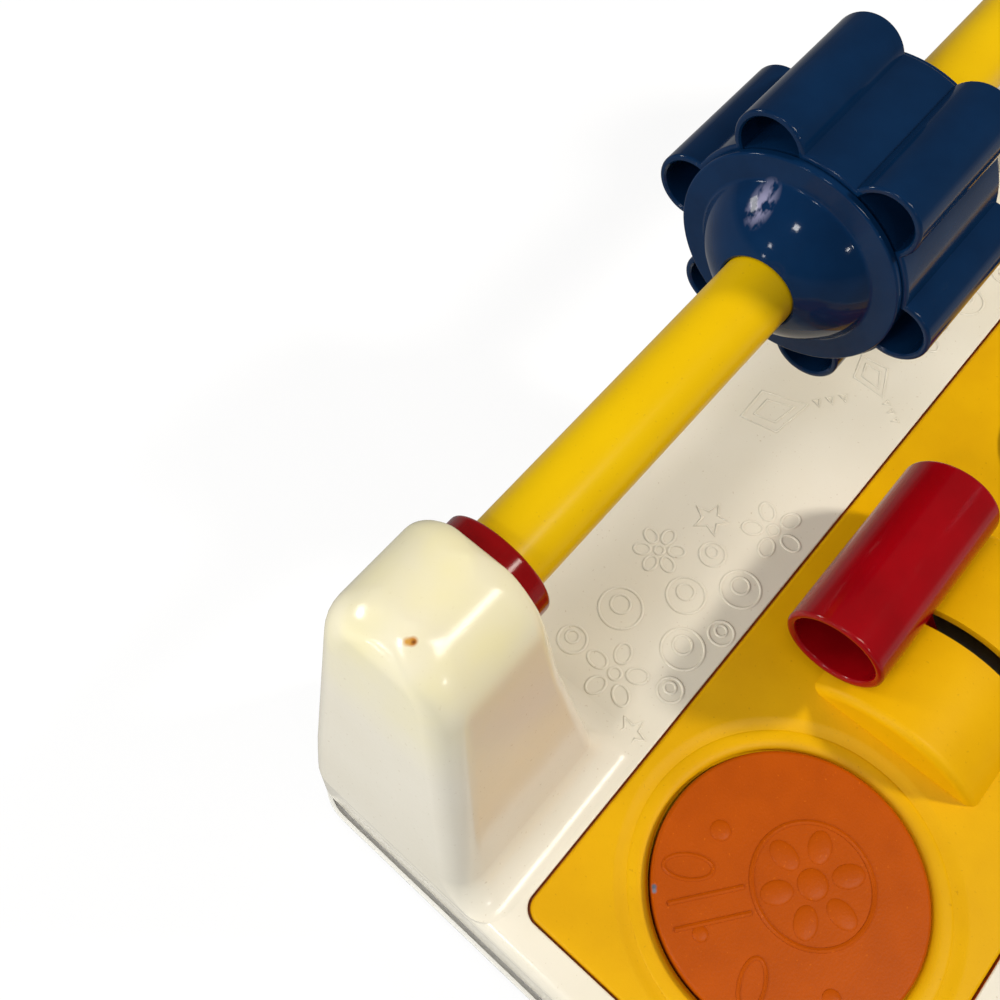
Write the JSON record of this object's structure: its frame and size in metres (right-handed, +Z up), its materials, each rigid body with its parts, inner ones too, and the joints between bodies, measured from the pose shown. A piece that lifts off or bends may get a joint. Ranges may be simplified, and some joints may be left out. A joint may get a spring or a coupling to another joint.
{
  "type": "baby activity center",
  "caption": "Baby activity centre: low base with two posts, a lobed drum spinning on a carrying rod, a turning disc, a swinging grip lever, a squeaker button and a clicking dial.",
  "frame": {"origin": "on the floor, under the middle of the overall box", "axes": "+X to the right along the base's length, +Y to the back where the carrying rod is, +Z up"},
  "size_m": [0.42, 0.2184, 0.1544],
  "materials": {
    "ivory_shell": "moulded, soft gloss",
    "yellow_panel": "moulded, soft gloss",
    "red": "glossy",
    "navy": "glossy",
    "orange": "satin",
    "natural": "uncoloured, as moulded",
    "rubber": "matte",
    "steel": "zinc plated"
  },
  "bodies": {
    "base": {"top_shell": "ivory_shell", "base_tray": "ivory_shell", "activity_panel": "yellow_panel", "handle_rod": "yellow_panel", "left_end_collar": "red", "right_end_collar": "red", "left_rod_plug": "natural", "right_rod_plug": "natural", "left_rod_stop": "natural", "right_rod_stop": "natural", "picture_disc_click_spring": "steel", "click_dial_click_spring": "steel", "lever_pin": "steel", "button_bezel": "navy", "squeaker_bellows": "rubber", "base_screw_1": "steel", "base_screw_2": "steel", "base_screw_3": "steel", "base_screw_4": "steel", "base_screw_5": "steel", "base_screw_6": "steel", "rubber_foot_1": "rubber", "rubber_foot_2": "rubber", "rubber_foot_3": "rubber", "rubber_foot_4": "rubber"},
    "drum": {"drum_barrel": "navy", "left_drum_cap": "navy", "right_drum_cap": "navy"},
    "disc": {"picture_disc": "orange", "picture_disc_click_wheel": "natural", "picture_disc_screw": "steel"},
    "dial": {"click_dial": "navy", "click_dial_click_wheel": "natural", "click_dial_screw": "steel"},
    "lever": {"lever_arm": "red", "grip_tube": "red"},
    "button": {"squeaker_button": "red"}
  },
  "joints": [
    {"name": "drum_spin", "type": "hinge", "parent": "base", "child": "drum", "pos_m": [0, 0.06416, 0.1125], "axis": [1, 0, 0], "continuous": true},
    {"name": "disc_spin", "type": "hinge", "parent": "base", "child": "disc", "pos_m": [-0.1411, -0.03893, 0.03], "axis": [0, 0, 1], "continuous": true},
    {"name": "dial_turn", "type": "hinge", "parent": "base", "child": "dial", "pos_m": [0.1411, -0.03893, 0.03], "axis": [0, 0, 1], "continuous": true},
    {"name": "lever_swing", "type": "hinge", "parent": "base", "child": "lever", "pos_m": [-0.0511, -0.03893, 0.0105], "axis": [1, 0, 0], "range_deg": [0, 71.8]},
    {"name": "button_press", "type": "slide", "parent": "base", "child": "button", "axis": [0, 0, -1], "range_m": [0, 0.006], "stiffness_N_per_m": 400, "springref_m": -0.001, "deforming": ["squeaker_bellows"]}
  ]
}
